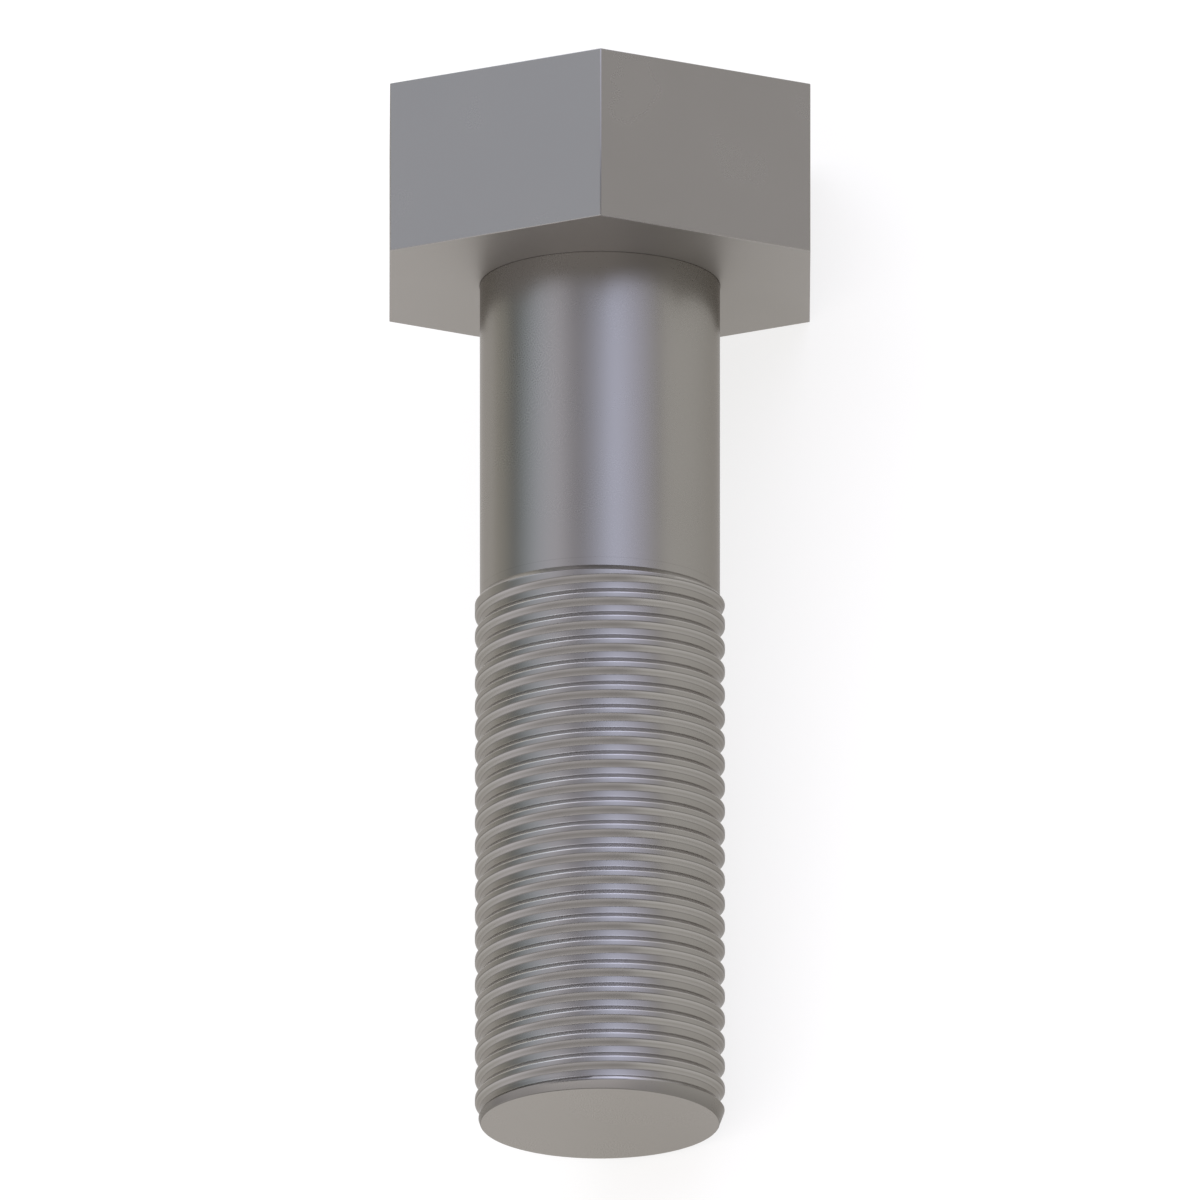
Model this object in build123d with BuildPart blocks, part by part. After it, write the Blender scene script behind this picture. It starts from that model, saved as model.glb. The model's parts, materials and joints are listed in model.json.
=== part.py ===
# A hexagon head screw: a plain hexagonal head, a plain shank, and a fine right-hand thread that stands a
# little proud of the shank. It is one piece of steel, so it is one solid. It is made upright on its own
# axis, tip down, and is then laid down as it comes to rest on a floor: on the lower edge of one flat of
# its head, and on the first full crest of its thread. Lengths are in millimetres and angles in degrees.

import os
from math import atan, ceil, cos, degrees, floor, radians, sin, tan

from build123d import *

# Head
head_height = 7.0
across_flats = 16.8
head_sides = 6

# Shank. Its length is measured from under the head, and takes in the thread
length = 35.0
shank_diameter = 9.6

# Thread: a shallow right-hand groove with two straight flanks, which leaves a flat crest between its turns
thread_length = 21.9
thread_diameter = 10.0
thread_pitch = 0.97
thread_depth = 0.2
crest_width = 0.22

# Height of the middle of the lowest groove, on the side that ends on top
first_groove = 0.62

# Where the groove starts to rise out of the metal, in turns round the axis from the side that ends on
# top, and how much of a turn it takes
run_out_side = 0.25
run_out_turns = 0.4

# Cone at the tip, and shoulder between the thread and the shank. Both angles are from the axis
tip_chamfer = 0.22
tip_angle = 20.0
shoulder_angle = 40.0

# How far the groove's cutting shape reaches past the crest
clearance = 0.03

thread_radius = thread_diameter / 2
shank_radius = shank_diameter / 2
head_radius = across_flats / 2
tip_radius = thread_radius - tip_chamfer
tip_length = tip_chamfer / tan(radians(tip_angle))
shoulder_length = abs(thread_radius - shank_radius) / tan(radians(shoulder_angle))

# The cutting shape has the flanks of the groove, and is as much wider as it reaches past the crest
root_radius = thread_radius - thread_depth
groove_mouth = (thread_pitch - crest_width) / 2
cutter_depth = thread_depth + clearance
cutter_mouth = groove_mouth * cutter_depth / thread_depth

# The groove starts below the tip, and has its full depth in as many whole turns as leave the shoulder
# uncut. Then it rises out of the metal
shoulder_start = thread_length - shoulder_length
groove_start = first_groove + (run_out_side - 2) * thread_pitch
full_turns = floor((shoulder_start - groove_mouth - groove_start) / thread_pitch)
run_out_rise = run_out_turns * thread_pitch
run_out_angle = degrees(atan(cutter_depth / run_out_rise))


def groove_cutter(climb, rise_angle):
    """The cutting shape as it climbs by this height, while its root leans out by rise_angle."""
    with BuildPart() as cutter:
        with BuildLine() as path:
            Helix(thread_pitch, climb, root_radius, cone_angle=rise_angle)
        with BuildSketch(Plane.XZ):
            with BuildLine():
                Polyline(
                    (root_radius, 0),
                    (root_radius + cutter_depth, -cutter_mouth),
                    (root_radius + cutter_depth, cutter_mouth),
                    close=True,
                )
            make_face()
        sweep(path=path.line, is_frenet=True)
    return cutter.part


def after_turns(turns):
    """The place of a cutting shape that starts this many turns above the lowest one."""
    return Location((0, 0, groove_start + turns * thread_pitch), (0, 0, 360 * run_out_side))


with BuildPart() as upright:
    # The turned bar: cone at the tip, bar for the thread, shoulder and plain shank
    with BuildSketch(Plane.XZ):
        with BuildLine():
            Polyline(
                (0, 0),
                (tip_radius, 0),
                (thread_radius, tip_length),
                (thread_radius, shoulder_start),
                (shank_radius, thread_length),
                (shank_radius, length),
                (0, length),
                close=True,
            )
        make_face()
    revolve(axis=Axis.Z)

    # The thread's groove, turn by turn, and its run-out
    with Locations(*[after_turns(turn) for turn in range(full_turns)]):
        add(groove_cutter(thread_pitch, 0), mode=Mode.SUBTRACT)
    with Locations(after_turns(full_turns)):
        add(groove_cutter(run_out_rise, run_out_angle), mode=Mode.SUBTRACT)

    # The head, with one flat square to +X
    with BuildSketch(Plane.XY.offset(length)):
        RegularPolygon(head_radius, head_sides, major_radius=False, rotation=180 / head_sides)
    extrude(amount=head_height)

# On the underside, opposite +X, the crests lie half a turn on from the grooves. The screw rests on the
# first of them that the tip's cone leaves whole
crest_turn = ceil((tip_length - first_groove - crest_width / 2) / thread_pitch)
contact_height = max(tip_length, first_groove + crest_turn * thread_pitch - crest_width / 2)

# The floor touches that crest and the edge of the head's flat, so the axis rises towards the head
tilt = atan((head_radius - thread_radius) / (length - contact_height))
axis_rise = sin(tilt)
axis_run = cos(tilt)

# Middle of the tip's end face when the box round the screw is centred over the origin
low_end = tip_radius * axis_rise
high_end = (length + head_height) * axis_run + head_radius * axis_rise
tip_x = (low_end - high_end) / 2
tip_z = thread_radius * axis_run - contact_height * axis_rise

lying = Plane(origin=(tip_x, 0, tip_z), x_dir=(-axis_rise, 0, axis_run), z_dir=(axis_run, 0, axis_rise))
with BuildPart() as hex_head_screw:
    with Locations(lying):
        add(upright.part)

os.makedirs("parts", exist_ok=True)
hex_head_screw.part.label = "hex_head_screw"
export_step(hex_head_screw.part, "parts/hex_head_screw.step")
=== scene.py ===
# %% [markdown]
# # A hexagon head screw
#
# The real screw is one piece of steel: a hexagonal head, a plain shank, and a thread that is cut in
# the end of the same bar. There is nothing to assemble, so the lesson is about three things: how a
# thread follows one simple rule, how small edges make a metal piece look machined, and how the light
# is laid out so that plain grey steel is worth looking at.
#
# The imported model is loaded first, as a fixed frame in metres. It says where the screw lies.

import json
from math import asin, atan2, ceil, cos, degrees, pi, radians, sin, tan

import bmesh
import bpy
from mathutils import Matrix, Vector


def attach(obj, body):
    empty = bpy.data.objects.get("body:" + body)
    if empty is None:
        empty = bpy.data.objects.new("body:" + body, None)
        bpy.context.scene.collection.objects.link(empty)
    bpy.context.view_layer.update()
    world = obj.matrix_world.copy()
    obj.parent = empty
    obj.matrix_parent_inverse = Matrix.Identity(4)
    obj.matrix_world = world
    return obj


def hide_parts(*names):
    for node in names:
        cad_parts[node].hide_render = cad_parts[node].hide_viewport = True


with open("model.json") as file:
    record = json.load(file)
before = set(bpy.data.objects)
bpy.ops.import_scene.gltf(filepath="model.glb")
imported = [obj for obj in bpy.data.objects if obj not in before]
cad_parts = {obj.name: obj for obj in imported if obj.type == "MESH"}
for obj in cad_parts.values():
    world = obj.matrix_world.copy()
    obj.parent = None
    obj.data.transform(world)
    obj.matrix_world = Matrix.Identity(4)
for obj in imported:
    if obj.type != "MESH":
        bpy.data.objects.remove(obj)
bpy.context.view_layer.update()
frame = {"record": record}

# %% [markdown]
# ## Where the screw lies
#
# It lies on the floor on one edge of its head and on its thread, so its axis rises a little towards
# the head. Nothing has to be measured again for this. The record says where the tip is, which way a
# nut leaves the thread and which way the upper flat of the head faces, and these three give the
# screw's own axes.

# %% The screw's own axes
mounts = {mount["name"]: mount for mount in frame["record"]["mounts"]}
tip = Vector(mounts["thread"]["pos_m"])
along = -Vector(mounts["thread"]["axis"]).normalized()
upper = Vector(mounts["spanner_flat_upper"]["axis"]).normalized()
sideways = along.cross(upper)
lying = Matrix.Translation(tip) @ Matrix((upper, sideways, along)).transposed().to_4x4()
print("tip:", tuple(round(v, 5) for v in tip), "axis:", tuple(round(v, 4) for v in along))

# %% [markdown]
# ## Sizes
#
# The screw is built upright, with the middle of its tip at the origin and its axis along +Z, and is
# laid down at the end. These are the sizes of the real screw. The thread is shallow: its groove has
# a flat floor, level with the shank, and two sloping flanks, and leaves a flat crest a little
# narrower than the floor.

# %% Sizes of the screw
MM = 0.001
LENGTH = 35.0 * MM
HEAD_HEIGHT = 7.0 * MM
HEAD_SIDES = 6
ACROSS_FLATS = 16.8 * MM
SHANK_RADIUS = 4.8 * MM

THREAD_LENGTH = 21.9 * MM
THREAD_RADIUS = 5.0 * MM
PITCH = 0.97 * MM
THREAD_DEPTH = 0.2 * MM
CREST_WIDTH = 0.22 * MM
FLOOR_WIDTH = 0.27 * MM

# Height of the middle of the lowest groove, on the side that ends on top. From there the groove
# climbs for as many turns as its run-out starts at, and then takes part of a turn to leave the metal
FIRST_GROOVE = 0.62 * MM
RUN_OUT_START = 21.25
RUN_OUT_TURNS = 0.4

# The cone at the tip, and the shoulder between the thread and the shank
TIP_RADIUS = 4.78 * MM
TIP_SLOPE = tan(radians(20))
SHOULDER_SLOPE = tan(radians(40))
SHOULDER_START = THREAD_LENGTH - (THREAD_RADIUS - SHANK_RADIUS) / SHOULDER_SLOPE

flank_width = (PITCH - CREST_WIDTH - FLOOR_WIDTH) / 2
print("width of each flank:", round(flank_width / MM, 3), "mm")
print("start of the shoulder:", round(SHOULDER_START / MM, 3), "mm from the tip")

# %% [markdown]
# ## Camera
#
# The photograph looks at the screw with its tip down, from a little below its head: the view rises
# 17 degrees along the axis, and one corner of the head points almost straight at the viewer. Here
# the screw lies on a floor, so the same view comes from above. The camera keeps the picture's up
# direction along the screw. It is a parallel view, as the photograph is, because the far edges of
# the head are as long as the near ones.

# %% Camera
VIEW_ELEVATION = radians(17.04)
VIEW_TURN = radians(29.83)
VIEW_WIDTH = 47.96 * MM
AIM_HEIGHT = 21.893 * MM
AIM_SIDE = 0.004 * MM
CAMERA_DISTANCE = 200 * MM
NEAREST_SEEN, FARTHEST_SEEN = 1 * MM, 2000 * MM

facing = cos(VIEW_TURN) * upper + sin(VIEW_TURN) * sideways
to_camera = (cos(VIEW_ELEVATION) * facing - sin(VIEW_ELEVATION) * along).normalized()
picture_right = along.cross(to_camera).normalized()
picture_up = to_camera.cross(picture_right)
aim = tip + AIM_HEIGHT * along + AIM_SIDE * picture_right

camera_data = bpy.data.cameras.new("camera")
camera_data.type = "ORTHO"
camera_data.ortho_scale = VIEW_WIDTH
camera_data.clip_start = NEAREST_SEEN
camera_data.clip_end = FARTHEST_SEEN
camera = bpy.data.objects.new("camera", camera_data)
camera_axes = Matrix((picture_right, picture_up, to_camera)).transposed().to_4x4()
camera.matrix_world = Matrix.Translation(aim + CAMERA_DISTANCE * to_camera) @ camera_axes
bpy.context.scene.collection.objects.link(camera)
bpy.context.scene.camera = camera
print("camera looks down at", round(90 - degrees(to_camera.angle(Vector((0, 0, 1)))), 1), "degrees")

# %% [markdown]
# ## Thread
#
# A thread is a groove that climbs one pitch in each turn. It could be cut out of a bar with a
# boolean, or swept as a coil, but both leave seams where the groove runs out. Here one sheet is
# wrapped round the bar instead, and a rule says how far each of its points is from the axis. Rows of
# points follow the climb, so the corners of the crest and of the floor stay crisp. Geometry Nodes
# suit this well: the grid, the climb and the rule are a few nodes each, and every size is an input.

# %% Helpers for the node trees
def new_tree(title, sizes):
    """A tree with a geometry output, and one named input for each size."""
    tree = bpy.data.node_groups.new(title, "GeometryNodeTree")
    tree.interface.new_socket(name="Geometry", in_out="OUTPUT", socket_type="NodeSocketGeometry")
    for name, kind in sizes.items():
        tree.interface.new_socket(name=name, in_out="INPUT", socket_type=kind)
    return tree


def calculate(tree, operation, *values):
    """One math step on numbers or on the outputs of earlier steps."""
    node = tree.nodes.new("ShaderNodeMath")
    node.operation = operation
    for socket, value in zip(node.inputs, values):
        if isinstance(value, (int, float)):
            socket.default_value = value
        else:
            tree.links.new(value, socket)
    return node.outputs[0]


# %% [markdown]
# The sheet starts as a flat grid, one unit wide and high. Across it runs one turn of the bar, and up
# it run the turns of the thread. Evenly spaced rows would miss the corners of the thread, so a curve
# gathers them there: it turns the place of a row within its turn into a distance from the middle of
# the groove. Places and distances are parts of a pitch.

# %% Rows at the corners of the thread
COLUMNS = 120
CORNER = 0.035
ROWS_AT_CORNER = (-1, -0.5, 0, 0.5, 1)

floor_corner = FLOOR_WIDTH / 2 / PITCH
crest_corner = 0.5 - CREST_WIDTH / 2 / PITCH
middle_of_flank = (floor_corner + crest_corner) / 2
floor_rows = [floor_corner + offset * CORNER for offset in ROWS_AT_CORNER]
crest_rows = [crest_corner + offset * CORNER for offset in ROWS_AT_CORNER]
upper_half = [0.0, *floor_rows, middle_of_flank, *crest_rows, 0.5]
lower_half = [-place for place in reversed(upper_half[1:])]
row_places = [0.5 + place for place in lower_half + upper_half]
rows_in_turn = len(row_places) - 1
print("rows in one turn:", rows_in_turn, [round(place, 3) for place in row_places])

# %% [markdown]
# Every size is an input of the tree, so it could make any thread of this kind. Its first steps make
# the grid, and read from each of its points how far round the bar and how far up the sheet it is.

# %% The tree that makes the thread
FLOAT = "NodeSocketFloat"
thread_tree = new_tree("thread", {
    "Columns": "NodeSocketInt", "Turns": "NodeSocketInt", "Pitch": FLOAT, "First groove": FLOAT,
    "Thread radius": FLOAT, "Thread depth": FLOAT, "Floor width": FLOAT, "Flank slope": FLOAT,
    "Run-out start": FLOAT, "Run-out turns": FLOAT, "Corner": FLOAT, "Tip radius": FLOAT,
    "Tip slope": FLOAT, "Lowest": FLOAT, "Highest": FLOAT, "Material": "NodeSocketMaterial",
})
thread_inputs = thread_tree.nodes.new("NodeGroupInput").outputs


def step(operation, *values):
    """One math step in the thread's tree, where a word stands for the input of that name."""
    sources = [thread_inputs[value] if isinstance(value, str) else value for value in values]
    return calculate(thread_tree, operation, *sources)


def held(value):
    """A number of the thread's tree, held between 0 and 1."""
    return step("MINIMUM", step("MAXIMUM", value, 0), 1)


grid = thread_tree.nodes.new("GeometryNodeMeshGrid")
grid.inputs["Size X"].default_value = 1
grid.inputs["Size Y"].default_value = 1
thread_tree.links.new(step("ADD", "Columns", 1), grid.inputs["Vertices X"])
row_count = step("MULTIPLY_ADD", "Turns", rows_in_turn, 1)
thread_tree.links.new(row_count, grid.inputs["Vertices Y"])
on_grid = thread_tree.nodes.new("ShaderNodeSeparateXYZ")
thread_tree.links.new(thread_tree.nodes.new("GeometryNodeInputPosition").outputs[0], on_grid.inputs[0])
around = step("ADD", on_grid.outputs["X"], 0.5)
upward = step("ADD", on_grid.outputs["Y"], 0.5)
print("inputs of the thread:", len(thread_tree.interface.items_tree) - 1)

# %% [markdown]
# The climb comes next. Every point is lifted by as much of a pitch as it is round the bar, and its
# row adds whole pitches. The sheet starts two turns too low and ends too high, and is then pressed
# flat against the tip and against the shoulder, so both of its ends are clean rings.

# %% The climb
TURNS_BELOW_TIP = 2
row = step("MULTIPLY", upward, "Turns")
row_turn = step("FLOOR", row)
gather = thread_tree.nodes.new("ShaderNodeFloatCurve")
thread_tree.links.new(step("SUBTRACT", row, row_turn), gather.inputs["Value"])
points = gather.mapping.curves[0].points
for number, row_place in enumerate(row_places):
    if 0 < number < rows_in_turn:
        points.new(number / rows_in_turn, row_place)
for point in points:
    point.handle_type = "VECTOR"
gather.mapping.update()

turn_number = step("SUBTRACT", step("ADD", row_turn, around), TURNS_BELOW_TIP)
in_turn = step("SUBTRACT", gather.outputs[0], 0.5)
climbed = step("MULTIPLY_ADD", step("ADD", turn_number, in_turn), "Pitch", "First groove")
height = step("MAXIMUM", step("MINIMUM", climbed, "Highest"), "Lowest")
print("steps so far:", len(thread_tree.nodes))

# %% [markdown]
# Then the rule for the radius. The distance from the middle of the nearest groove gives the floor,
# the flanks and the crest. At its end the groove rises out of the metal, which is how a cutting tool
# leaves a real thread. Last comes the cone at the tip. The smooth steps take the burr off each
# corner, as a wire brush does.

# %% The rule for the radius
RUN_OUT_REACH = 0.05 * MM
CONE_CORNER = 0.3
grooves_up = step("DIVIDE", step("SUBTRACT", height, "First groove"), "Pitch")
grooves = step("SUBTRACT", grooves_up, around)
nearest = step("ROUND", grooves)
off_middle = step("MULTIPLY", step("ABSOLUTE", step("SUBTRACT", grooves, nearest)), "Pitch")

past_start = step("SUBTRACT", step("ADD", nearest, around), "Run-out start")
run_out = held(step("DIVIDE", past_start, "Run-out turns"))
full_floor = step("SUBTRACT", "Thread radius", "Thread depth")
floor_radius = step("MULTIPLY_ADD", run_out, step("ADD", "Thread depth", RUN_OUT_REACH), full_floor)
off_floor = step("SUBTRACT", off_middle, step("MULTIPLY", "Floor width", 0.5))
flank = step("MULTIPLY_ADD", off_floor, "Flank slope", floor_radius)
groove = step("SMOOTH_MAX", floor_radius, flank, "Corner")

threaded = step("SMOOTH_MIN", groove, "Thread radius", "Corner")
cone = step("MULTIPLY_ADD", height, "Tip slope", "Tip radius")
turned = step("SMOOTH_MIN", threaded, cone, step("MULTIPLY", "Corner", CONE_CORNER))
print("steps so far:", len(thread_tree.nodes))

# %% [markdown]
# The tree also keeps three numbers for each point, which the steel reads later as attributes. A nut
# rubs bright the corner of the crest above the flanks that face the head. "wear" is 1 on that corner
# and falls to 0 beside it. Those flanks reflect each other and come out dark, so painted light
# brightens them: the second number is 1 on them, and fades at their edges and where the groove runs
# out.

# %% Worn crests and painted light on the flanks
WEAR_REACH = 0.025 * MM
CONE_FADE = 0.08 * MM
FLANK_FADE = 5
clear_of_cone = held(step("DIVIDE", step("SUBTRACT", cone, groove), CONE_FADE))
faces_head = step("MULTIPLY", step("LESS_THAN", grooves, nearest), clear_of_cone)
off_crest = step("DIVIDE", step("ABSOLUTE", step("SUBTRACT", groove, "Thread radius")), WEAR_REACH)
worn = step("MULTIPLY", step("MAXIMUM", step("SUBTRACT", 1, off_crest), 0), faces_head)

up_flank = step("DIVIDE", step("MULTIPLY", off_floor, "Flank slope"), "Thread depth")
from_edge = step("MINIMUM", up_flank, step("SUBTRACT", 1, up_flank))
on_flank = held(step("MULTIPLY", from_edge, FLANK_FADE))
in_full_thread = step("SUBTRACT", 1, run_out)
head_flank_light = step("MULTIPLY", step("MULTIPLY", on_flank, faces_head), in_full_thread)
print("steps so far:", len(thread_tree.nodes))

# %% [markdown]
# The flanks that face the tip get a little painted light beside their edges and not in their middle,
# and a thin painted dark line on the edges themselves. Both are stronger at the crest than at the
# floor, so each has a strength for either edge.

# %% Edges of the flanks that face the tip
EDGE_LIGHT_RISE = 8
EDGE_LIGHT_FALL = 1.4
EDGE_LIGHT_AT_FLOOR, EDGE_LIGHT_AT_CREST = 0.18, 0.48
LINE_REACH = 0.1
DARK_LINE_AT_FLOOR, DARK_LINE_AT_CREST = 0.4, 0.6


def between(tree, share, at_none, at_full):
    """A number that goes evenly from one value to another while a share goes from 0 to 1."""
    return calculate(tree, "MULTIPLY_ADD", share, at_full - at_none, at_none)


clear_thread = step("MULTIPLY", clear_of_cone, in_full_thread)
faces_tip = step("MULTIPLY", step("GREATER_THAN", grooves, nearest), clear_thread)

# From each edge the painted light rises fast, and then falls to nothing halfway up the flank
rising = step("MULTIPLY", from_edge, EDGE_LIGHT_RISE)
falling = step("MULTIPLY_ADD", from_edge, -2 * EDGE_LIGHT_FALL, EDGE_LIGHT_FALL)
beside_edge = step("MAXIMUM", step("MINIMUM", rising, falling), 0)
edge_light_strength = between(thread_tree, up_flank, EDGE_LIGHT_AT_FLOOR, EDGE_LIGHT_AT_CREST)
tip_flank_edge_light = step("MULTIPLY", beside_edge, edge_light_strength)
# Painted light on both kinds of flank
all_flank_light = step("MULTIPLY_ADD", tip_flank_edge_light, faces_tip, head_flank_light)

# A thin dark line painted along both edges of the flanks that face the tip
edge_line = step("MAXIMUM", step("MULTIPLY_ADD", step("ABSOLUTE", from_edge), -1 / LINE_REACH, 1), 0)
dark_line_strength = between(thread_tree, up_flank, DARK_LINE_AT_FLOOR, DARK_LINE_AT_CREST)
dark_line_on_edges = step("MULTIPLY", step("MULTIPLY", edge_line, dark_line_strength), faces_tip)


def keep(name, value):
    """A step that stores a number on each point under a name."""
    node = thread_tree.nodes.new("GeometryNodeStoreNamedAttribute")
    node.inputs["Name"].default_value = name
    thread_tree.links.new(value, node.inputs["Value"])
    return node


# The second and third numbers are the painted light and the painted dark lines of the flanks
keepers = [keep("wear", worn), keep("load", all_flank_light), keep("dark_edge_line", dark_line_on_edges)]
print("kept on each point:", [node.inputs["Name"].default_value for node in keepers])

# %% [markdown]
# Now each point takes its place: the radius is turned round the axis and lifted to its height. The
# first and the last column meet there and are welded, so the bar has no seam. The tree ends in
# Realize Instances and Set Material.

# %% The points in space
WELD_REACH = 0.001 * MM
turned_by = step("MULTIPLY", around, 2 * pi)
in_space = thread_tree.nodes.new("ShaderNodeCombineXYZ")
thread_tree.links.new(step("MULTIPLY", turned, step("COSINE", turned_by)), in_space.inputs["X"])
thread_tree.links.new(step("MULTIPLY", turned, step("SINE", turned_by)), in_space.inputs["Y"])
thread_tree.links.new(height, in_space.inputs["Z"])

wrap = thread_tree.nodes.new("GeometryNodeSetPosition")
thread_tree.links.new(grid.outputs["Mesh"], keepers[0].inputs["Geometry"])
thread_tree.links.new(in_space.outputs[0], wrap.inputs["Position"])
weld = thread_tree.nodes.new("GeometryNodeMergeByDistance")
weld.inputs["Distance"].default_value = WELD_REACH
realize = thread_tree.nodes.new("GeometryNodeRealizeInstances")
set_material = thread_tree.nodes.new("GeometryNodeSetMaterial")
chain = [*keepers, wrap, weld, realize, set_material, thread_tree.nodes.new("NodeGroupOutput")]
for earlier, later in zip(chain, chain[1:]):
    thread_tree.links.new(earlier.outputs[0], later.inputs[0])
thread_tree.links.new(thread_inputs["Material"], set_material.inputs["Material"])
print("steps in the thread's tree:", len(thread_tree.nodes))

# %% [markdown]
# The tree is used once, with the sizes of this screw. Its result is taken as a plain mesh, because
# the rest of the screw is built on to it point by point. The sheet ends a little above the tip, to
# leave room for the rounded edge there.

# %% The threaded bar
TIP_EDGE = 0.03 * MM


def plain_mesh(tree, title, values):
    """The tree's result with these input values, as a plain mesh that needs no modifier."""
    maker = bpy.data.objects.new(title, bpy.data.meshes.new(title))
    bpy.context.scene.collection.objects.link(maker)
    modifier = maker.modifiers.new(title, "NODES")
    modifier.node_group = tree
    for item in tree.interface.items_tree:
        if item.in_out == "INPUT":
            modifier[item.identifier] = values[item.name]
    ready = maker.evaluated_get(bpy.context.evaluated_depsgraph_get())
    result = bpy.data.meshes.new_from_object(ready)
    bpy.data.objects.remove(maker)
    return result


steel = bpy.data.materials.new("turned_steel")
turns_up_to_shoulder = ceil((SHOULDER_START - FIRST_GROOVE) / PITCH + 0.5)
thread_mesh = plain_mesh(thread_tree, "thread", {
    "Columns": COLUMNS, "Turns": turns_up_to_shoulder + TURNS_BELOW_TIP, "Pitch": PITCH,
    "First groove": FIRST_GROOVE, "Thread radius": THREAD_RADIUS, "Thread depth": THREAD_DEPTH,
    "Floor width": FLOOR_WIDTH, "Flank slope": THREAD_DEPTH / flank_width,
    "Run-out start": RUN_OUT_START, "Run-out turns": RUN_OUT_TURNS, "Corner": CORNER * PITCH,
    "Tip radius": TIP_RADIUS, "Tip slope": TIP_SLOPE, "Lowest": TIP_EDGE,
    "Highest": SHOULDER_START, "Material": steel,
})
print("thread:", len(thread_mesh.polygons), "faces")

# %% [markdown]
# ## Tip, shank and head
#
# The rest is plain, so it is built point by point on to the thread: a ring at each change of the
# outline, then the head. Where it meets the thread, the ring is the thread's own end, so nothing has
# to be welded there.

# %% Rings of the tip and the shank
EDGE_ROUNDING = 0.3
screw = bmesh.new()
screw.from_mesh(thread_mesh)
wear = screw.verts.layers.float["wear"]


def points_round(radius, angles, level):
    """New points at one distance from the axis and one height, at these angles round the axis."""
    return [screw.verts.new((radius * cos(angle), radius * sin(angle), level)) for angle in angles]


def ring(radius, level):
    """A ring of points round the axis, in step with the columns of the thread."""
    return points_round(radius, [2 * pi * number / COLUMNS for number in range(COLUMNS)], level)


def column_of(vert):
    """The column that a point of the thread's sheet stands in."""
    return round(atan2(vert.co.y, vert.co.x) / (2 * pi) * COLUMNS) % COLUMNS


def end_of_thread(level):
    """The points where the thread's sheet ends at this height, in step with its columns."""
    open_points = [vert for vert in screw.verts if vert.is_boundary]
    ends = [vert for vert in open_points if abs(vert.co.z - level) < THREAD_DEPTH / 2]
    return sorted(ends, key=column_of)


def join_rings(rings):
    """Faces between these rings of points, from the lowest to the highest."""
    for lower, higher in zip(rings, rings[1:]):
        for number in range(COLUMNS):
            after = (number + 1) % COLUMNS
            screw.faces.new((lower[number], lower[after], higher[after], higher[number]))


# The middle of the tip's rounded edge stands back from the side and from the end by the same length
stand_back = EDGE_ROUNDING * TIP_EDGE
tip_rings = [
    ring(TIP_RADIUS - TIP_EDGE, 0),
    ring(TIP_RADIUS - stand_back, stand_back),
    end_of_thread(TIP_EDGE),
]
shank_rings = [
    end_of_thread(SHOULDER_START),
    ring(SHANK_RADIUS, THREAD_LENGTH),
    ring(SHANK_RADIUS, LENGTH),
]
join_rings(tip_rings)
join_rings(shank_rings)
screw.faces.new(tip_rings[0])

# The corner where the shoulder starts is worn, as the crests are
for vert in shank_rings[0]:
    vert[wear] = 1
print("points in each ring:", [len(points) for points in tip_rings + shank_rings])

# %% [markdown]
# The head is a prism, and its outer edges are bevelled by a few hundredths of a millimetre. No real
# edge is perfectly sharp, and without that thin strip a metal part has nothing at its edges to catch
# the light. Its underside is one face for each side of the head, from there in to the shank's ring.

# %% The head
HEAD_EDGE = 0.03 * MM
HEAD_WEAR = 0.3
half_side = pi / HEAD_SIDES
columns_a_side = COLUMNS // HEAD_SIDES
corner_radius = ACROSS_FLATS / 2 / cos(half_side)
corner_angles = [half_side + 2 * half_side * number for number in range(HEAD_SIDES)]
under = points_round(corner_radius, corner_angles, LENGTH)
top = points_round(corner_radius, corner_angles, LENGTH + HEAD_HEIGHT)
screw.faces.new(top)
edge_of_head = set()
for number in range(HEAD_SIDES):
    after = (number + 1) % HEAD_SIDES
    side = screw.faces.new((under[number], under[after], top[after], top[number]))
    edge_of_head.update(side.edges)
    first = columns_a_side // 2 + number * columns_a_side
    inner = [shank_rings[-1][column % COLUMNS] for column in range(first, first + columns_a_side + 1)]
    screw.faces.new([under[after], under[number]] + inner)

bevel = bmesh.ops.bevel(
    screw, geom=list(edge_of_head), offset=HEAD_EDGE, segments=2, profile=0.5, affect="EDGES")
strips = set(bevel["faces"])

# Only the points in the middle of the strips are worn, and not those that border on a flat face
for vert in bevel["verts"]:
    vert[wear] = HEAD_WEAR * strips.issuperset(vert.link_faces)
print("head:", round(2 * corner_radius / MM, 3), "mm across corners,", len(strips), "faces on its edges")

# %% [markdown]
# The pieces are welded into one closed skin. Then the whole screw is laid down with the matrix from
# the start. The curved faces are smooth except across real edges, which are found by their angle.
# The large flat ones stay flat: smooth shading would bend the light on them towards the bevels.

# %% One closed piece
SHARP_ANGLE = radians(35)
LARGE_FACE = 10 * MM**2
bmesh.ops.remove_doubles(screw, verts=screw.verts, dist=WELD_REACH)
bmesh.ops.recalc_face_normals(screw, faces=screw.faces)
bmesh.ops.transform(screw, matrix=lying, verts=screw.verts)
for face in screw.faces:
    face.smooth = True
leaks = sum(not edge.is_manifold for edge in screw.edges)
triangles = sum(len(face.verts) - 2 for face in screw.faces)

screw_mesh = bpy.data.meshes.new("hex_screw")
screw.to_mesh(screw_mesh)
screw.free()
screw_mesh.set_sharp_from_angle(angle=SHARP_ANGLE)
large_faces = [face for face in screw_mesh.polygons if face.area > LARGE_FACE]
for face in large_faces:
    face.use_smooth = False
screw_mesh.materials.clear()
screw_mesh.materials.append(steel)
hex_screw = bpy.data.objects.new("hex_screw", screw_mesh)
bpy.context.scene.collection.objects.link(hex_screw)
print("screw:", triangles, "triangles,", leaks, "open edges,", len(large_faces), "large flat faces")

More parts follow.
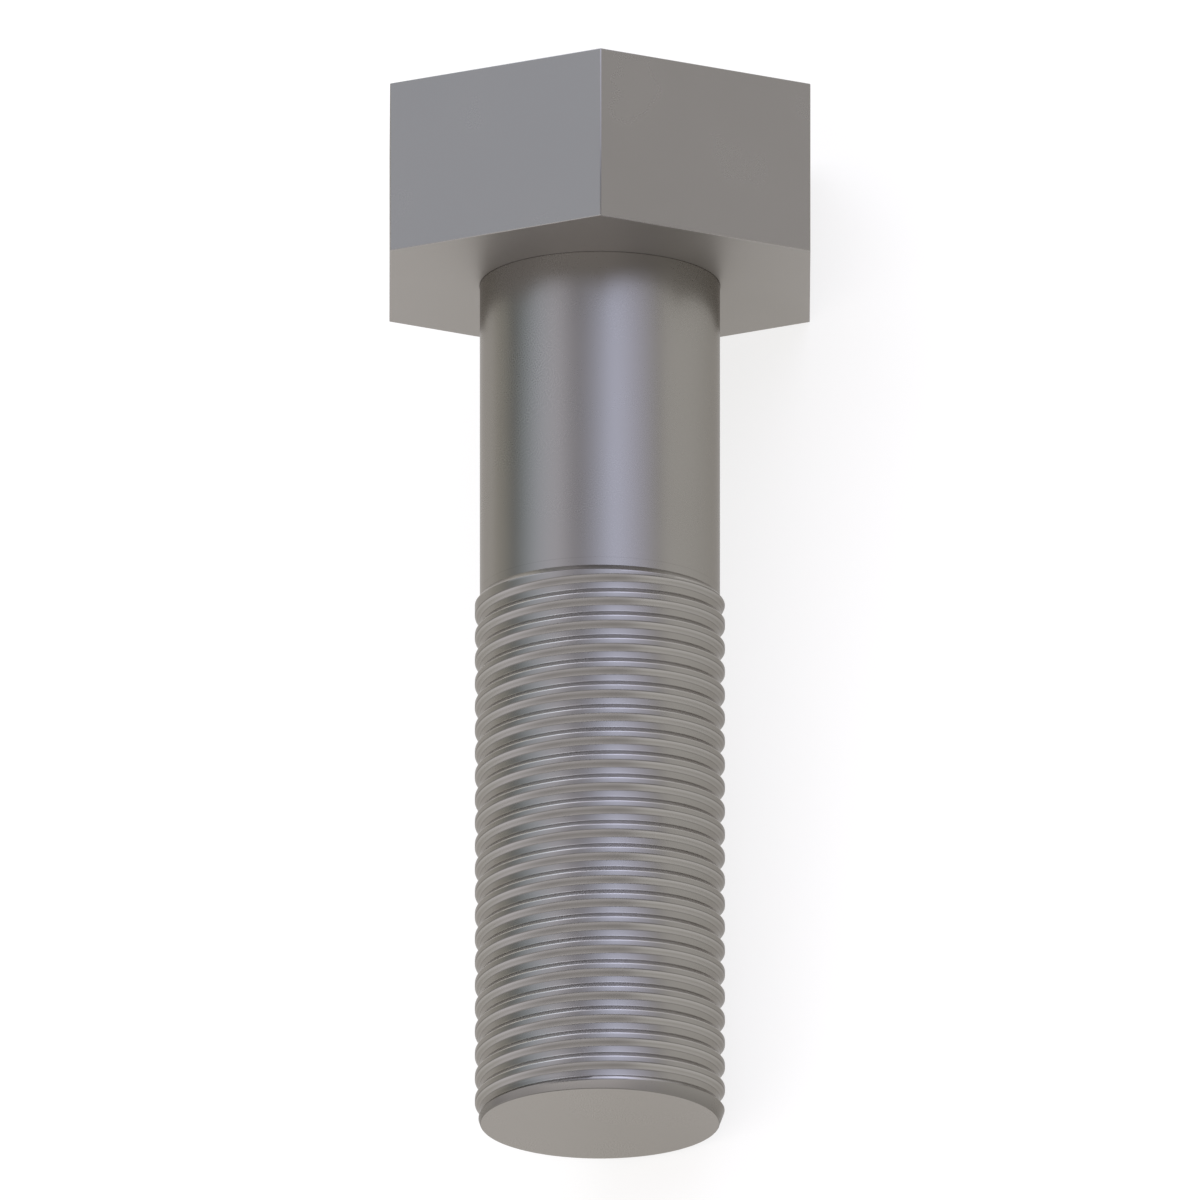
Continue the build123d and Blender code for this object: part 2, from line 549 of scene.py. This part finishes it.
# %% [markdown]
# ## Steel
#
# The photograph shows plain machined steel: grey, a little warm, and satin rather than mirror
# bright. The metal's colour does most of the work. A pattern needs a place to start from, so the
# first step turns Object coordinates, which lie with the screw, back into the screw's own upright
# ones: distance from the axis and height above the tip are then ready to use.

# %% Places on the screw
steel.use_nodes = True
steel_tree = steel.node_tree
shader = steel_tree.nodes["Principled BSDF"]
on_object = steel_tree.nodes.new("ShaderNodeTexCoord")
stand_up = steel_tree.nodes.new("ShaderNodeMapping")
stand_up.vector_type = "TEXTURE"
stand_up.inputs["Location"].default_value = lying.translation
stand_up.inputs["Rotation"].default_value = lying.to_euler()
steel_tree.links.new(on_object.outputs["Object"], stand_up.inputs["Vector"])
upright = steel_tree.nodes.new("ShaderNodeSeparateXYZ")
steel_tree.links.new(stand_up.outputs[0], upright.inputs[0])


def steel_step(operation, *values):
    """One math step in the steel."""
    return calculate(steel_tree, operation, *values)


def length_of(first, second):
    """The distance that two steps square to each other make."""
    squared = steel_step("MULTIPLY", second, second)
    return steel_step("SQRT", steel_step("MULTIPLY_ADD", first, first, squared))


level = upright.outputs["Z"]
from_axis = length_of(upright.outputs["Y"], upright.outputs["X"])
print("the steel's patterns stand on", [round(v, 4) for v in stand_up.inputs["Location"].default_value])

# %% [markdown]
# Three patterns cover it. Soft patches, a few millimetres wide, vary the colour and the gloss as
# handling does. A fine even grain breaks up the highlights, most on the turned bar. Turning leaves
# rings round the axis, on the bar and across the flat faces at its end and under the head, so one
# noise reads only the distance from the axis and the height.

# %% Patches, grain and turning rings
PATCH_SIZE = 4 * MM
GRAIN_SIZE = 0.05 * MM
RING_SIZE = 0.16 * MM
GRAIN_ON_HEAD = 0.25


def noise(place, size, detail, dimensions="3D"):
    """Noise with features of about this size."""
    node = steel_tree.nodes.new("ShaderNodeTexNoise")
    node.noise_dimensions = dimensions
    node.inputs["Scale"].default_value = 1 / size
    node.inputs["Detail"].default_value = detail
    steel_tree.links.new(place, node.inputs["Vector"])
    return node.outputs["Fac"]


along_rings = steel_tree.nodes.new("ShaderNodeCombineXYZ")
steel_tree.links.new(from_axis, along_rings.inputs["X"])
steel_tree.links.new(level, along_rings.inputs["Y"])

patches = noise(stand_up.outputs[0], PATCH_SIZE, detail=3)
grain = noise(stand_up.outputs[0], GRAIN_SIZE, detail=2)
rings = noise(along_rings.outputs[0], RING_SIZE, detail=2, dimensions="2D")
turned_part = steel_step("LESS_THAN", level, LENGTH + HEAD_EDGE / 2)
shown_rings = steel_step("MULTIPLY", rings, turned_part)
shown_grain = steel_step("MULTIPLY", grain, between(steel_tree, turned_part, GRAIN_ON_HEAD, 1))
print("patterns:", sum(node.bl_idname == "ShaderNodeTexNoise" for node in steel_tree.nodes))

# %% [markdown]
# Some places are lighter. What a tool has faced last, the end of the tip and the underside of the
# head, is lighter than the drawn bar, partly as faced steel and partly as painted light, which
# brightens the shadowed floor that they reflect. The wear that was kept on the points lightens the
# crests' corners and the head's edges. Painted light brightens the flanks that face the head most, and
# the edges of those that face the tip a little, and lifts the underside of the head further. On the
# flanks it is even, and elsewhere the patches make it uneven.

# %% Faced places, wear and painted light
FLAT_REACH = 0.005 * MM
NECK_GAP = 0.02 * MM
CORNER_WEAR, CORNER_WEAR_IN_PATCHES = 0.08, 0.88
UNDERSIDE_LIGHT, UNDERSIDE_LIGHT_IN_PATCHES = 0.22, 0.47


def attribute(name):
    """A number that was kept on the points."""
    node = steel_tree.nodes.new("ShaderNodeAttribute")
    node.attribute_name = name
    return node.outputs["Fac"]


def strongest(*values):
    """The largest of these numbers."""
    largest = values[0]
    for value in values[1:]:
        largest = steel_step("MAXIMUM", largest, value)
    return largest


end_face = steel_step("COMPARE", level, 0, FLAT_REACH)
under_head = steel_step("COMPARE", level, LENGTH, FLAT_REACH)
beyond_shank = steel_step("GREATER_THAN", from_axis, SHANK_RADIUS + NECK_GAP)
underside = steel_step("MULTIPLY", under_head, beyond_shank)
# The end face and the underside: a little lighter as faced steel, and lighter still by painted light,
# which brightens their reflection of the shadowed floor
faced_and_lit = steel_step("ADD", underside, end_face)

corner_strength = between(steel_tree, patches, CORNER_WEAR, CORNER_WEAR_IN_PATCHES)
corner_wear = steel_step("MULTIPLY", attribute("wear"), corner_strength)
# Painted light that lifts the underside of the head, whose reflection of the shank is dark; the patches
# make it uneven
underside_light_strength = between(steel_tree, patches, UNDERSIDE_LIGHT, UNDERSIDE_LIGHT_IN_PATCHES)
underside_light = steel_step("MULTIPLY", underside, underside_light_strength)
# Wear on the corners and edges, with the painted light on the flanks and under the head
wear_and_light = strongest(corner_wear, attribute("load"), underside_light)
print("steps in the steel so far:", len(steel_tree.nodes))

# %% [markdown]
# Painted shade darkens the corner at the neck and the cone of the tip, most at its edge with the end
# face. The thin painted dark lines on the flanks' edges join them, and the die that cut the thread left
# a faint ring where it stopped.

# %% Painted shade and the die's mark
NECK_SHADE = 0.6
NECK_SHADE_REACH = 0.06 * MM
DIE_MARK = 22.23 * MM
DIE_MARK_REACH = 0.018 * MM
DIE_MARK_DIRT = 0.1
CONE_TOP = 0.6 * MM
CONE_SHADE_AT_END, CONE_SHADE_AT_TOP = 0.42, 0.12

# Painted shade in the corner at the neck, darkest in the corner itself
out_of_corner = steel_step("SUBTRACT", from_axis, SHANK_RADIUS)
below_head = steel_step("SUBTRACT", level, LENGTH)
to_corner = steel_step("DIVIDE", length_of(out_of_corner, below_head), NECK_SHADE_REACH)
in_corner = steel_step("MAXIMUM", steel_step("SUBTRACT", NECK_SHADE, to_corner), 0)
at_die_mark = steel_step("COMPARE", level, DIE_MARK, DIE_MARK_REACH)
die_mark = steel_step("MULTIPLY", at_die_mark, DIE_MARK_DIRT)
# Painted shade on the cone of the tip, darkest at its edge with the end face
up_cone = steel_step("DIVIDE", level, CONE_TOP)
on_cone = steel_step("SUBTRACT", steel_step("LESS_THAN", up_cone, 1), end_face)
cone_strength = between(steel_tree, up_cone, CONE_SHADE_AT_END, CONE_SHADE_AT_TOP)
cone_shade = steel_step("MULTIPLY", on_cone, cone_strength)
# The painted shade, the painted dark lines and the die's mark, in one dark colour
shade_and_marks = strongest(in_corner, die_mark, cone_shade, attribute("dark_edge_line"))
print("steps in the steel so far:", len(steel_tree.nodes))

# %% [markdown]
# The patches make the colour a little lighter or darker. The faced places, the wear, the painted
# light, the painted shade and the die's mark are mixed in over it. The gloss follows the grain and
# the patches, and the rings and the grain are a bump of well under a thousandth of a millimetre, which
# is as deep as fine machining marks.

# %% Steel
DARK_STEEL = (0.248, 0.237, 0.214, 1)
LIGHT_STEEL = (0.266, 0.253, 0.228, 1)
# Faced steel, made lighter still by painted light
FACED_AND_LIT_STEEL = (0.358, 0.342, 0.319, 1)
# Worn corners and edges, and the painted light on the flanks and under the head
BRIGHT_STEEL = (0.50, 0.483, 0.46, 1)
# Painted shade at the neck and on the cone, the painted dark lines on the flanks, and the die's mark
SHADE_AND_MARK_COLOUR = (0.05, 0.045, 0.04, 1)
EDGE_TINT = (0.68, 0.66, 0.64, 1)
ROUGHNESS = 0.23
GRAIN_ROUGHNESS = 0.04
PATCH_ROUGHNESS = 0.06
UNDERSIDE_ROUGHNESS = 0.15
GRAIN_DEPTH = 0.0003 * MM
RING_SHARE = 0.5


def mixed_colour(tree, share, first, second):
    """A colour between two, where either may be the output of an earlier step."""
    node = tree.nodes.new("ShaderNodeMix")
    node.data_type = "RGBA"
    tree.links.new(share, node.inputs["Factor"])
    for socket, colour in ((node.inputs[6], first), (node.inputs[7], second)):
        if isinstance(colour, tuple):
            socket.default_value = colour
        else:
            tree.links.new(colour, socket)
    return node.outputs[2]


shader.inputs["Metallic"].default_value = 1.0
shader.inputs["Specular Tint"].default_value = EDGE_TINT
bar_colour = mixed_colour(steel_tree, patches, DARK_STEEL, LIGHT_STEEL)
clean_colour = mixed_colour(steel_tree, faced_and_lit, bar_colour, FACED_AND_LIT_STEEL)
# Wear and painted light, in one bright colour
worn_and_lit_colour = mixed_colour(steel_tree, wear_and_light, clean_colour, BRIGHT_STEEL)
shown_colour = mixed_colour(steel_tree, shade_and_marks, worn_and_lit_colour, SHADE_AND_MARK_COLOUR)
steel_tree.links.new(shown_colour, shader.inputs["Base Color"])

grain_gloss = steel_step("MULTIPLY_ADD", shown_grain, GRAIN_ROUGHNESS, ROUGHNESS)
patch_gloss = steel_step("MULTIPLY_ADD", patches, PATCH_ROUGHNESS, grain_gloss)
gloss = steel_step("MULTIPLY_ADD", underside, UNDERSIDE_ROUGHNESS, patch_gloss)
steel_tree.links.new(gloss, shader.inputs["Roughness"])

bump = steel_tree.nodes.new("ShaderNodeBump")
bump.inputs["Distance"].default_value = GRAIN_DEPTH
relief = steel_step("MULTIPLY_ADD", shown_rings, RING_SHARE, shown_grain)
steel_tree.links.new(relief, bump.inputs["Height"])
steel_tree.links.new(bump.outputs[0], shader.inputs["Normal"])
print("steel:", len(steel_tree.nodes), "steps")

# %% [markdown]
# ## Floor and light
#
# The floor is white paper. Its own colour keeps the shadow of the screw, and a glow, which only the
# camera and the reflections see, takes the open paper to white. Nothing extra falls on the screw.
# The Standard view shows a colour as it is written, so white paper stays white.

# %% Floor
FLOOR_SIZE = 3.0
PAPER_COLOUR = (0.29, 0.279, 0.256, 1)
PAPER_ROUGHNESS = 0.9
PAPER_GLOW = 0.75
bpy.context.scene.view_settings.view_transform = "Standard"
half = FLOOR_SIZE / 2
floor_mesh = bpy.data.meshes.new("floor")
floor_corners = [(-half, -half, 0), (half, -half, 0), (half, half, 0), (-half, half, 0)]
floor_mesh.from_pydata(floor_corners, [], [(0, 1, 2, 3)])
floor = bpy.data.objects.new("floor", floor_mesh)
bpy.context.scene.collection.objects.link(floor)

paper = bpy.data.materials.new("white_paper")
paper.use_nodes = True
paper_shader = paper.node_tree.nodes["Principled BSDF"]
paper_shader.inputs["Base Color"].default_value = PAPER_COLOUR
paper_shader.inputs["Roughness"].default_value = PAPER_ROUGHNESS
paper_shader.inputs["Specular IOR Level"].default_value = 0.0
paper_shader.inputs["Emission Color"].default_value = (1, 1, 1, 1)
seen = paper.node_tree.nodes.new("ShaderNodeLightPath")
camera_or_glossy = calculate(
    paper.node_tree, "MAXIMUM", seen.outputs["Is Camera Ray"], seen.outputs["Is Glossy Ray"])
any_view = calculate(
    paper.node_tree, "MAXIMUM", camera_or_glossy, seen.outputs["Is Transmission Ray"])
paper_glow = calculate(paper.node_tree, "MULTIPLY", any_view, PAPER_GLOW)
paper.node_tree.links.new(paper_glow, paper_shader.inputs["Emission Strength"])
floor_mesh.materials.append(paper)
print("floor:", FLOOR_SIZE, "m wide")

# %% [markdown]
# The room is a studio with long soft light panels that run along the screw, as one would hang them
# to photograph a shiny rod. They are painted on the world: the angle round the screw picks a colour,
# and a colour ramp holds the panels. Each has its angle in degrees from straight up, towards the
# front, and its colour.

# %% Panels round the screw
PANELS = [
    (-90, (0.86, 0.83, 0.80)),
    (-72, (0.68, 0.68, 0.65)),
    (-60, (0.31, 0.32, 0.33)),
    (-48, (0.59, 0.68, 0.77)),
    (-30, (1.10, 1.18, 1.41)),
    (-12, (1.36, 1.36, 1.60)),
    (9, (0.67, 0.66, 0.77)),
    (26, (1.10, 1.15, 1.48)),
    (42, (1.72, 1.83, 2.47)),
    (64, (1.24, 1.26, 1.61)),
    (90, (0.77, 0.75, 0.74)),
]
world = bpy.data.worlds.new("studio")
bpy.context.scene.world = world
world.use_nodes = True
world_tree = world.node_tree
direction = world_tree.nodes.new("ShaderNodeSeparateXYZ")
world_tree.links.new(world_tree.nodes.new("ShaderNodeTexCoord").outputs["Generated"], direction.inputs[0])


def world_step(operation, *values):
    """One math step in the world."""
    return calculate(world_tree, operation, *values)


def painted(value, stops):
    """A colour ramp over a value from 0 to 1."""
    node = world_tree.nodes.new("ShaderNodeValToRGB")
    world_tree.links.new(value, node.inputs["Fac"])
    elements = node.color_ramp.elements
    elements.remove(elements[1])
    elements[0].position = stops[0][0]
    elements[0].color = (*stops[0][1], 1)
    for position, light in stops[1:]:
        elements.new(position).color = (*light, 1)
    return node.outputs["Color"]


lean = world_step("ARCTAN2", world_step("MULTIPLY", direction.outputs["Y"], -1), direction.outputs["Z"])
half_turn = world_step("MULTIPLY_ADD", lean, 1 / pi, 0.5)
panels = painted(half_turn, [(from_top / 180 + 0.5, light) for from_top, light in PANELS])
print("light panels at:", [from_top for from_top, light in PANELS])

# %% [markdown]
# Towards the head the panels are brighter, most of all on the far side, and the rounded corners of
# the crests pick that up as thin lines. The X of a direction says how far it points along the floor
# under the screw: it is 1 towards the head and -1 towards the tip.

# %% The head's end of the room
BRIGHT_FROM, BRIGHTEST = 0.42, 0.7
FAR_SIDE = radians(-30)
NEAR_GAIN, FAR_GAIN = 0.45, 1.4
lengthwise = direction.outputs["X"]


def smooth_share(value, start, end):
    """How far a value has gone from start to end, as a smooth 0 to 1."""
    node = world_tree.nodes.new("ShaderNodeMapRange")
    node.interpolation_type = "SMOOTHSTEP"
    node.inputs["From Min"].default_value = start
    node.inputs["From Max"].default_value = end
    world_tree.links.new(value, node.inputs["Value"])
    return node.outputs[0]


def scaled(light, strength):
    """A light that is made this many times as strong."""
    node = world_tree.nodes.new("ShaderNodeVectorMath")
    node.operation = "SCALE"
    world_tree.links.new(light, node.inputs[0])
    world_tree.links.new(strength, node.inputs["Scale"])
    return node.outputs[0]


gain = between(world_tree, smooth_share(lean, 0, FAR_SIDE), NEAR_GAIN, FAR_GAIN)
brighter = world_step("MULTIPLY_ADD", smooth_share(lengthwise, BRIGHT_FROM, BRIGHTEST), gain, 1)
lit_panels = scaled(panels, brighter)
print("the panels get brighter from", round(degrees(asin(BRIGHT_FROM))), "degrees towards the head")

# %% [markdown]
# Beyond the tip stands a plain pale wall, which the flanks of the thread turn towards. It is darkest
# straight ahead. It also dims towards its far and its near side, because under an evenly lit wall
# the flanks would be too bright at the left and the right of the picture.

# %% The wall beyond the tip
TIP_WALL = [
    (-1, (0.66, 0.64, 0.67)),
    (-0.88, (0.69, 0.67, 0.70)),
    (-0.74, (1.40, 1.38, 1.48)),
    (-0.55, (1.6, 1.57, 1.70)),
    (-0.40, (1.38, 1.36, 1.46)),
    (-0.28, (1.8, 1.78, 1.91)),
    (-0.1, (1.3, 1.28, 1.38)),
]
WALL_FROM, ALL_WALL = 0.1, -0.02
DIM_UP_TO, LIT_FROM = radians(-45), radians(-12)
LIT_UP_TO, DIM_FROM = radians(40), radians(75)
DIM, LIT = 0.78, 1.05
wall_stops = [(place + 1, light) for place, light in TIP_WALL]
tip_wall = painted(world_step("ADD", lengthwise, 1), wall_stops)
lit_after_far_side = between(world_tree, smooth_share(lean, DIM_UP_TO, LIT_FROM), DIM, LIT)
into_near_side = smooth_share(lean, LIT_UP_TO, DIM_FROM)
wall_strength = world_step("MULTIPLY_ADD", into_near_side, DIM - LIT, lit_after_far_side)
lit_wall = scaled(tip_wall, wall_strength)
wall_share = smooth_share(lengthwise, WALL_FROM, ALL_WALL)
room = mixed_colour(world_tree, wall_share, lit_panels, lit_wall)
print("parts of the wall:", len(TIP_WALL))

# %% [markdown]
# A dark gap parts the wall from the panels, and draws a thin dark line beside each crest. It is
# deeper on the near side than on the far side.

# %% The gap between the wall and the panels
PANELS_END, GAP_START = 0.14, 0
GAP_END, WALL_START = -0.15, -0.27
GAP_FAR_SIDE = radians(-40)
NEAR_DEPTH, FAR_DEPTH = 0.85, 0.2
past_panels = smooth_share(lengthwise, PANELS_END, GAP_START)
before_wall = smooth_share(lengthwise, WALL_START, GAP_END)
gap = world_step("MULTIPLY", past_panels, before_wall)
gap_depth = between(world_tree, smooth_share(lean, 0, GAP_FAR_SIDE), NEAR_DEPTH, FAR_DEPTH)
left_by_gap = world_step("SUBTRACT", 1, world_step("MULTIPLY", gap, gap_depth))
room_with_gap = scaled(room, left_by_gap)
print("steps in the room:", len(world_tree.nodes))

# %% [markdown]
# The floor hides the lower half of the world from the screw. Only a low view, whose lower part looks
# in from under the floor, sees it. So it is plain white, as the paper is.

# %% Below the horizon
WHITE = (1, 1, 1, 1)
WHITE_FROM, ALL_WHITE = -0.01, -0.04
below_horizon = smooth_share(direction.outputs["Z"], WHITE_FROM, ALL_WHITE)
whole_world = mixed_colour(world_tree, below_horizon, room_with_gap, WHITE)
world_tree.links.new(whole_world, world_tree.nodes["Background"].inputs["Color"])
print("the world is white from", round(degrees(asin(ALL_WHITE)), 1), "degrees down")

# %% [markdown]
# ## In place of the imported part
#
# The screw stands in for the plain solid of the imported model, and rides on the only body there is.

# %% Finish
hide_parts("hex_head_screw")
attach(hex_screw, "root")
